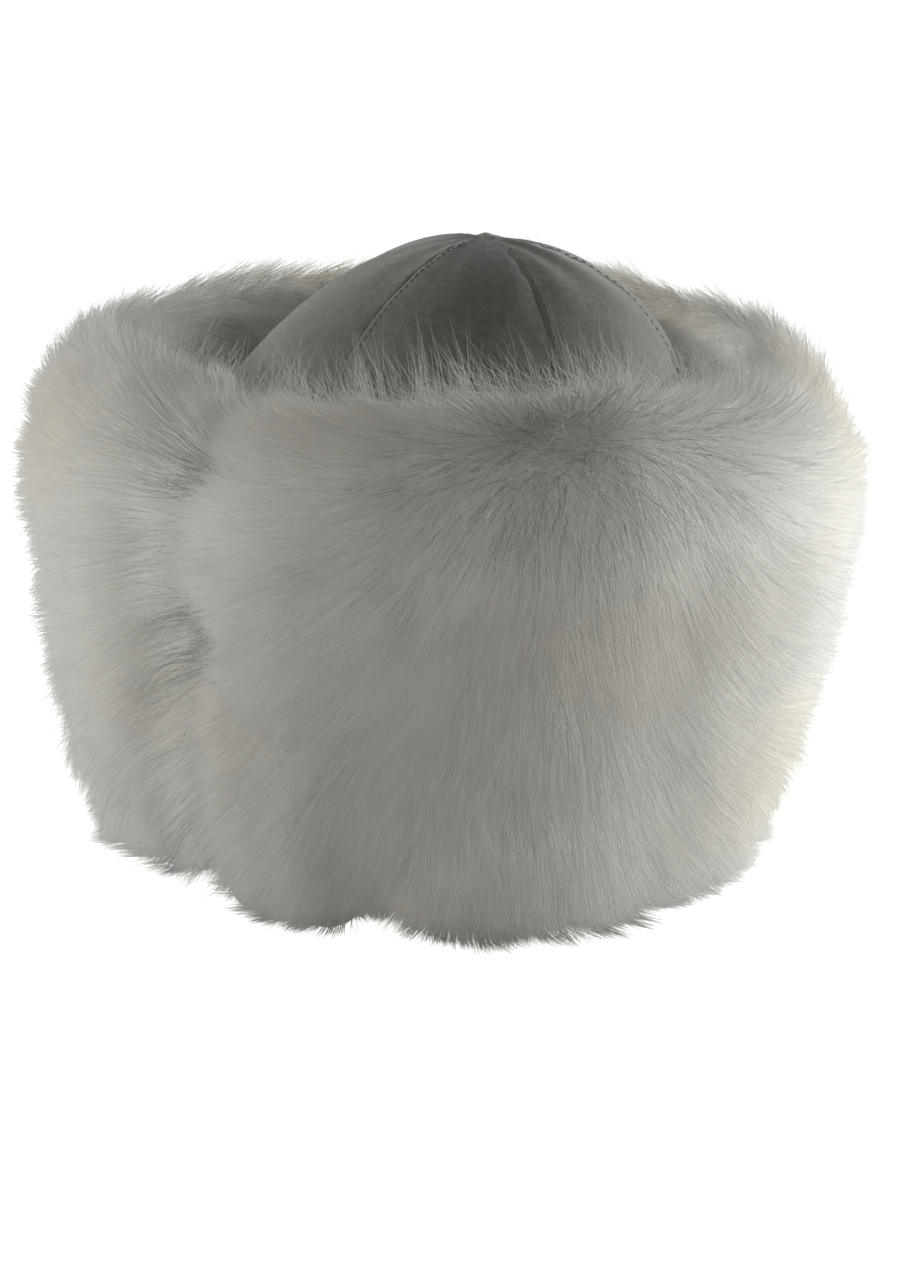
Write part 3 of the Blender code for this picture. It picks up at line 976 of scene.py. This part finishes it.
def tints(azimuth, length, shade, chance):
    """Each hair's steps of shade and warmth: step 0 of shade is painted shade, for hairs deep in a
    notch of the left seam or in the parting.
    """
    shade = SHADE_MIDDLE + SHADE_SPREAD * shade + chance.normal(0, SHADE_JITTER, len(shade))
    shade_step = np.clip(np.round(shade * (SHADE_STEPS - 1)), 1, SHADE_STEPS - 1)
    middle = NOTCH_PAINTED_SHADE[0] + NOTCH_TURN * np.maximum(notched(length) - 1, 0)
    painted_shade_share = NOTCH_SHARE * notched(length) * bell(from_front(azimuth - middle), NOTCH_PAINTED_SHADE[1])
    high, along, place, across, most = PARTING_PAINTED_SHADE
    painted_shade_share += most * bell(from_front(azimuth - place), across) * bell(length - high, along)
    shade_step[chance.random(len(shade)) < painted_shade_share] = 0
    warm = warmth(azimuth, length) * (WARM_STEPS - 1) + chance.uniform(-0.5, 0.5, len(shade))
    return shade_step, np.clip(np.round(warm), 0, WARM_STEPS - 1)


def make_pile(name, first, last, count, material):
    """One piece's hairs, each a tapered ribbon of two faces and a pointed tip."""
    chance = np.random.default_rng(PILE_SEED + round(TURN + first))
    hairs = scattered_hairs(first, last, count, chance)
    azimuth, length, turn, lift, share, gather, stray = hairs
    # Painted light: stray hairs start from the lightest shade, as if, standing higher, they caught
    # more light
    shade = np.where(stray, 1.0, 0.0)
    wisps = []
    for number, wisp in enumerate(WISPS):
        found = wisp_of(azimuth, length, wisp, np.random.default_rng(PILE_SEED + 1 + number))
        habits = wisp[3:] * found[:, 4:]
        turn += habits[:, 0]
        lift += habits[:, 1]
        share += habits[:, 2]
        # Painted light: hairs of wisps that lift higher are made lighter
        shade += WISP_PAINTED_LIGHT * found[:, 5]
        wisps.append((found, habits, wisp[2]))
    if last == SEAMS[2]:
        near = 1 - ramp((last - azimuth) / SEAM_SHORT[1])
        between, at_notch = SEAM_SHORT_NOTCHES
        share *= 1 - SEAM_SHORT[0] * near * (between + at_notch * notched(length))
    paths = hair_paths(azimuth, length, turn, lift, share)
    for found, habits, hold in wisps:
        if hold:
            own_turn, own_lift, own_share = habits.T
            guide = hair_paths(found[:, 0], found[:, 1], own_turn, own_lift, 1 + own_share)
            pull = hold * gather[:, None, None] * HAIR_STATIONS[None, :, None] ** HAIR_GATHER_BEND
            paths = paths + (guide - paths) * pull
    tuft = wisps[-1][0][:, 2]
    paths = kept_clear(paths, azimuth, length, tuft, first, last, chance)
    points, normals = ribbons(paths, azimuth, length, stray, chance)
    shade_step, warm_step = tints(azimuth, length, shade, chance)

    mesh = bpy.data.meshes.new(name)
    mesh.vertices.add(count * HAIR_POINTS)
    mesh.vertices.foreach_set("co", points.astype(np.float32).ravel())
    loops = (np.arange(count)[:, None] * HAIR_POINTS + RIBBON).ravel()
    mesh.loops.add(len(loops))
    mesh.loops.foreach_set("vertex_index", loops.astype(np.int32))
    mesh.polygons.add(count * len(RIBBON_STARTS))
    starts = (np.arange(count)[:, None] * len(RIBBON) + RIBBON_STARTS).ravel()
    mesh.polygons.foreach_set("loop_start", starts.astype(np.int32))
    mesh.polygons.foreach_set("use_smooth", np.ones(len(starts), bool))
    mesh.update(calc_edges=True)
    mesh.normals_split_custom_set_from_vertices(normals.reshape(-1, 3))

    along = np.append(np.repeat(HAIR_STATIONS[:-1], 2), 1.0)
    for attribute, values in (
        ("shade", np.repeat(shade_step / (SHADE_STEPS - 1), HAIR_POINTS)),
        ("warmth", np.repeat(warm_step / (WARM_STEPS - 1), HAIR_POINTS)),
        ("along", np.tile(along, count)),
    ):
        layer = mesh.attributes.new(attribute, "FLOAT", "POINT")
        layer.data.foreach_set("value", values.astype(np.float32))
    u = (shade_step[:, None] + CELL_ACROSS[0] + CELL_ACROSS[1] * RIBBON_ACROSS) / SHADE_STEPS
    v = (warm_step[:, None] + CELL_ALONG[0] + CELL_ALONG[1] * along[RIBBON]) / WARM_STEPS
    uv = mesh.uv_layers.new(name="OFBake")
    uv.data.foreach_set("uv", np.stack([u, v], axis=-1).astype(np.float32).ravel())
    mesh.materials.append(material)
    piece = bpy.data.objects.new(name, mesh)
    bpy.context.scene.collection.objects.link(piece)
    return piece


# Guard hair: smooth white fibre, cream at the root, with a soft gloss along it. Each
# hair has one of a few shades and warmths. Stray hairs and lifted wisps get the lighter
# shades, which is painted light, and the darkest step is painted shade for hairs deep in
# a gap.
PILE_ROOT = "DEDCD5"
PILE_TIP = "F5F5F2"
PILE_WARM = "F2EFE5"
PILE_SHADE_SHARE = 0.06
PILE_ROOT_END = 0.75
PILE_ROUGHNESS = 0.55
PILE_SPECULAR = 0.35
hair, tree = new_material("white_guard_hair")
shade, warm, along = (
    add_node(tree, "ShaderNodeAttribute", attribute_name=attribute).outputs["Fac"]
    for attribute in ("shade", "warmth", "along")
)
tipped = add_node(
    tree,
    "ShaderNodeMix",
    {MIX_SHARE: warm, MIX_FIRST: linear(PILE_TIP), MIX_SECOND: linear(PILE_WARM)},
    data_type="RGBA",
)
rooted = add_node(
    tree,
    "ShaderNodeMapRange",
    {"Value": along, "From Max": PILE_ROOT_END},
    interpolation_type="SMOOTHSTEP",
)
grown = add_node(
    tree,
    "ShaderNodeMix",
    {
        MIX_SHARE: rooted.outputs["Result"],
        MIX_FIRST: linear(PILE_ROOT),
        MIX_SECOND: tipped.outputs[MIX_RESULT],
    },
    data_type="RGBA",
)
lit_level = add_node(
    tree,
    "ShaderNodeMapRange",
    {"Value": shade, "To Min": 1 - 2 * PILE_SHADE_SHARE, "To Max": 1.0},
)
# Painted shade: the darkest step of shade is darkened much further
painted_shade_node = add_node(
    tree,
    "ShaderNodeMapRange",
    {
        "Value": shade,
        "From Max": 1 / (SHADE_STEPS - 1),
        "To Min": PAINTED_SHADE_LEVEL,
        "To Max": 1.0,
    },
)
level = add_node(
    tree,
    "ShaderNodeMath",
    {0: lit_level.outputs["Result"], 1: painted_shade_node.outputs["Result"]},
    operation="MULTIPLY",
)
shaded = add_node(
    tree,
    "ShaderNodeVectorMath",
    {0: grown.outputs[MIX_RESULT], "Scale": level.outputs["Value"]},
    operation="SCALE",
)
shader = add_node(
    tree,
    "ShaderNodeBsdfPrincipled",
    {
        "Base Color": shaded.outputs["Vector"],
        "Roughness": PILE_ROUGHNESS,
        "Specular IOR Level": PILE_SPECULAR,
    },
)
add_node(tree, "ShaderNodeOutputMaterial", {"Surface": shader.outputs["BSDF"]})

# Light passes through real pile, so the hairs cast no shadow here, but the pelts do
for name, first, last, count, node in PILE_PIECES:
    pile = make_pile(name, first, last, count, hair)
    pile.visible_shadow = False
    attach(pile, "root")
    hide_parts(node)
